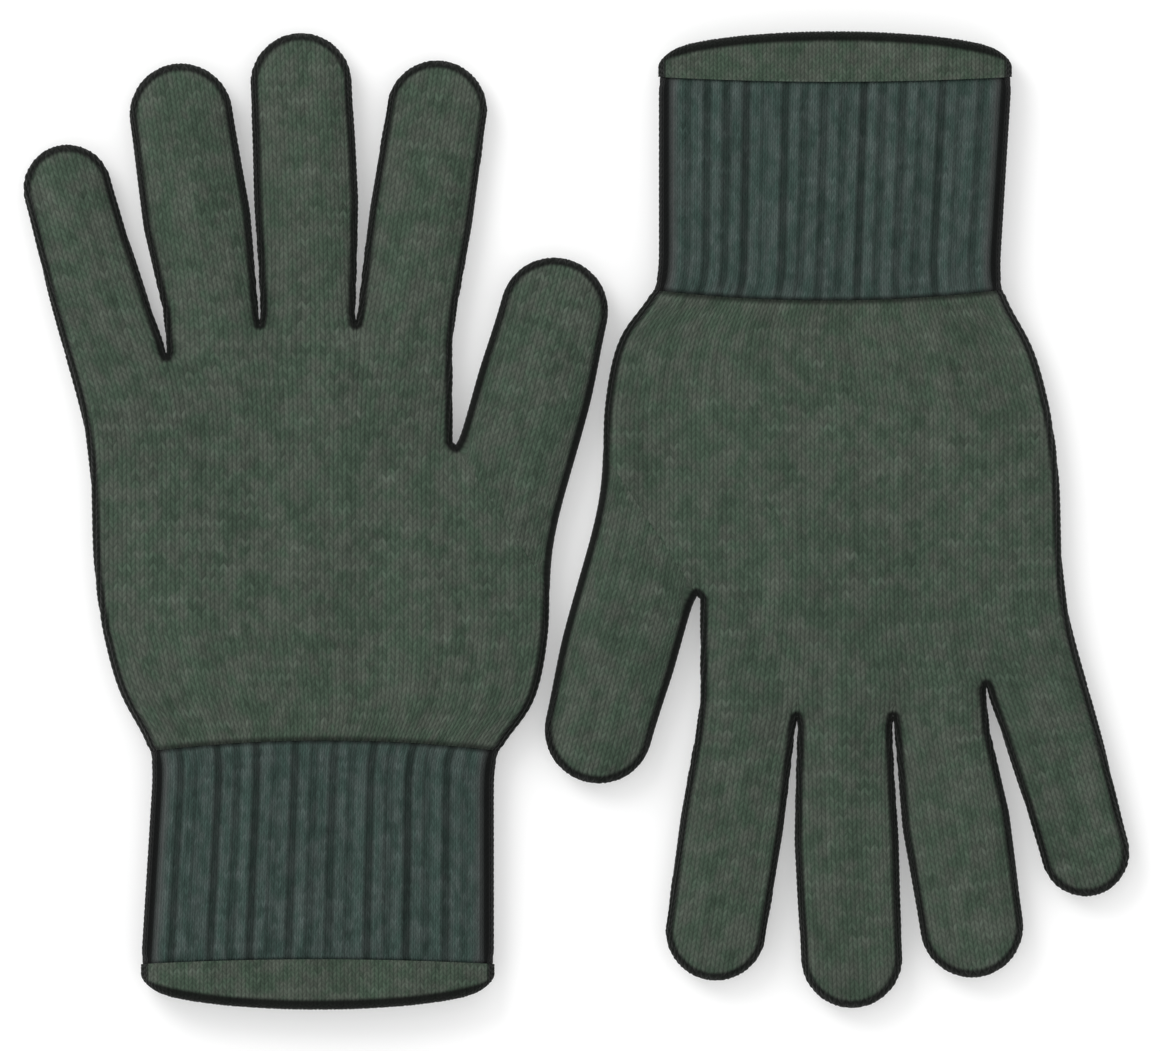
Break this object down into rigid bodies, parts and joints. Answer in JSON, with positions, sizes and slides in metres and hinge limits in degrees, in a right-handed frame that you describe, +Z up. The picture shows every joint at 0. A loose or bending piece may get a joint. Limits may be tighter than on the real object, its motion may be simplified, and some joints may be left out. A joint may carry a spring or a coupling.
{
  "type": "knitted gloves",
  "caption": "Pair of plain machine-knitted five-finger gloves with ribbed cuffs and turned hems, lying flat head to tail; wrist, fingers and thumb fold.",
  "frame": {"origin": "on the surface the gloves lie on, in the middle between the two gloves", "axes": "+X from glove A to glove B, +Y the way glove A's fingers point, +Z up from the surface"},
  "size_m": [0.2754, 0.2434, 0.013],
  "materials": {
    "hand_knit": "matte",
    "rib_knit": "matte",
    "elastic_thread": "matte"
  },
  "bodies": {
    "glove_a_hand": {"glove_a_palm": "hand_knit"},
    "glove_a_cuff": {"glove_a_rib_cuff": "rib_knit", "glove_a_hem": "hand_knit", "glove_a_cuff_elastic": "elastic_thread"},
    "glove_a_little_root": {"glove_a_little_base": "hand_knit"},
    "glove_a_little_end": {"glove_a_little_tip": "hand_knit"},
    "glove_a_ring_root": {"glove_a_ring_base": "hand_knit"},
    "glove_a_ring_end": {"glove_a_ring_tip": "hand_knit"},
    "glove_a_middle_root": {"glove_a_middle_base": "hand_knit"},
    "glove_a_middle_end": {"glove_a_middle_tip": "hand_knit"},
    "glove_a_index_root": {"glove_a_index_base": "hand_knit"},
    "glove_a_index_end": {"glove_a_index_tip": "hand_knit"},
    "glove_a_thumb_root": {"glove_a_thumb_base": "hand_knit"},
    "glove_a_thumb_end": {"glove_a_thumb_tip": "hand_knit"},
    "glove_b_hand": {"glove_b_palm": "hand_knit"},
    "glove_b_cuff": {"glove_b_rib_cuff": "rib_knit", "glove_b_hem": "hand_knit", "glove_b_cuff_elastic": "elastic_thread"},
    "glove_b_little_root": {"glove_b_little_base": "hand_knit"},
    "glove_b_little_end": {"glove_b_little_tip": "hand_knit"},
    "glove_b_ring_root": {"glove_b_ring_base": "hand_knit"},
    "glove_b_ring_end": {"glove_b_ring_tip": "hand_knit"},
    "glove_b_middle_root": {"glove_b_middle_base": "hand_knit"},
    "glove_b_middle_end": {"glove_b_middle_tip": "hand_knit"},
    "glove_b_index_root": {"glove_b_index_base": "hand_knit"},
    "glove_b_index_end": {"glove_b_index_tip": "hand_knit"},
    "glove_b_thumb_root": {"glove_b_thumb_base": "hand_knit"},
    "glove_b_thumb_end": {"glove_b_thumb_tip": "hand_knit"}
  },
  "joints": [
    {"name": "glove_a_wrist_fold", "type": "hinge", "parent": "glove_a_hand", "child": "glove_a_cuff", "pos_m": [-0.06399, -0.055, 0.0132], "axis": [-1, 0, 0], "range_deg": [0, 90]},
    {"name": "glove_a_little_root_fold", "type": "hinge", "parent": "glove_a_hand", "child": "glove_a_little_root", "pos_m": [-0.11409, 0.04187, 0.0132], "axis": [1, 0, 0], "range_deg": [0, 90]},
    {"name": "glove_a_little_middle_fold", "type": "hinge", "parent": "glove_a_little_root", "child": "glove_a_little_end", "pos_m": [-0.1228, 0.06684, 0.0132], "axis": [0.9624, 0.2717, 0], "range_deg": [0, 100]},
    {"name": "glove_a_ring_root_fold", "type": "hinge", "parent": "glove_a_hand", "child": "glove_a_ring_root", "pos_m": [-0.09064, 0.0506, 0.0132], "axis": [1, 0, 0], "range_deg": [0, 90]},
    {"name": "glove_a_ring_middle_fold", "type": "hinge", "parent": "glove_a_ring_root", "child": "glove_a_ring_end", "pos_m": [-0.09616, 0.0833, 0.0132], "axis": [0.9886, 0.1504, 0], "range_deg": [0, 100]},
    {"name": "glove_a_middle_root_fold", "type": "hinge", "parent": "glove_a_hand", "child": "glove_a_middle_root", "pos_m": [-0.06709, 0.0506, 0.0132], "axis": [1, 0, 0], "range_deg": [0, 90]},
    {"name": "glove_a_middle_middle_fold", "type": "hinge", "parent": "glove_a_middle_root", "child": "glove_a_middle_end", "pos_m": [-0.06784, 0.08859, 0.0132], "axis": [0.9992, 0.0395, 0], "range_deg": [0, 100]},
    {"name": "glove_a_index_root_fold", "type": "hinge", "parent": "glove_a_hand", "child": "glove_a_index_root", "pos_m": [-0.04292, 0.0506, 0.0132], "axis": [1, 0, 0], "range_deg": [0, 90]},
    {"name": "glove_a_index_middle_fold", "type": "hinge", "parent": "glove_a_index_root", "child": "glove_a_index_end", "pos_m": [-0.03766, 0.08395, 0.0132], "axis": [0.9888, -0.1489, 0], "range_deg": [0, 100]},
    {"name": "glove_a_thumb_root_fold", "type": "hinge", "parent": "glove_a_hand", "child": "glove_a_thumb_root", "pos_m": [-0.01932, 0.002, 0.0132], "axis": [0.5373, -0.8434, 0], "range_deg": [0, 35]},
    {"name": "glove_a_thumb_middle_fold", "type": "hinge", "parent": "glove_a_thumb_root", "child": "glove_a_thumb_end", "pos_m": [-0.00892, 0.03903, 0.0132], "axis": [0.9677, -0.252, 0], "range_deg": [0, 45]},
    {"name": "gloves_apart", "type": "slide", "parent": "glove_a_hand", "child": "glove_b_hand", "axis": [1, 0, 0], "range_m": [0, 0.3]},
    {"name": "glove_b_wrist_fold", "type": "hinge", "parent": "glove_b_hand", "child": "glove_b_cuff", "pos_m": [0.06399, 0.055, 0.0132], "axis": [1, 0, 0], "range_deg": [0, 90]},
    {"name": "glove_b_little_root_fold", "type": "hinge", "parent": "glove_b_hand", "child": "glove_b_little_root", "pos_m": [0.11409, -0.04187, 0.0132], "axis": [-1, 0, 0], "range_deg": [0, 90]},
    {"name": "glove_b_little_middle_fold", "type": "hinge", "parent": "glove_b_little_root", "child": "glove_b_little_end", "pos_m": [0.1228, -0.06684, 0.0132], "axis": [-0.9624, -0.2717, 0], "range_deg": [0, 100]},
    {"name": "glove_b_ring_root_fold", "type": "hinge", "parent": "glove_b_hand", "child": "glove_b_ring_root", "pos_m": [0.09064, -0.0506, 0.0132], "axis": [-1, 0, 0], "range_deg": [0, 90]},
    {"name": "glove_b_ring_middle_fold", "type": "hinge", "parent": "glove_b_ring_root", "child": "glove_b_ring_end", "pos_m": [0.09616, -0.0833, 0.0132], "axis": [-0.9886, -0.1504, 0], "range_deg": [0, 100]},
    {"name": "glove_b_middle_root_fold", "type": "hinge", "parent": "glove_b_hand", "child": "glove_b_middle_root", "pos_m": [0.06709, -0.0506, 0.0132], "axis": [-1, 0, 0], "range_deg": [0, 90]},
    {"name": "glove_b_middle_middle_fold", "type": "hinge", "parent": "glove_b_middle_root", "child": "glove_b_middle_end", "pos_m": [0.06784, -0.08859, 0.0132], "axis": [-0.9992, -0.0395, 0], "range_deg": [0, 100]},
    {"name": "glove_b_index_root_fold", "type": "hinge", "parent": "glove_b_hand", "child": "glove_b_index_root", "pos_m": [0.04292, -0.0506, 0.0132], "axis": [-1, 0, 0], "range_deg": [0, 90]},
    {"name": "glove_b_index_middle_fold", "type": "hinge", "parent": "glove_b_index_root", "child": "glove_b_index_end", "pos_m": [0.03766, -0.08395, 0.0132], "axis": [-0.9888, 0.1489, 0], "range_deg": [0, 100]},
    {"name": "glove_b_thumb_root_fold", "type": "hinge", "parent": "glove_b_hand", "child": "glove_b_thumb_root", "pos_m": [0.01932, -0.002, 0.0132], "axis": [-0.5373, 0.8434, 0], "range_deg": [0, 35]},
    {"name": "glove_b_thumb_middle_fold", "type": "hinge", "parent": "glove_b_thumb_root", "child": "glove_b_thumb_end", "pos_m": [0.00892, -0.03903, 0.0132], "axis": [-0.9677, 0.252, 0], "range_deg": [0, 45]}
  ]
}
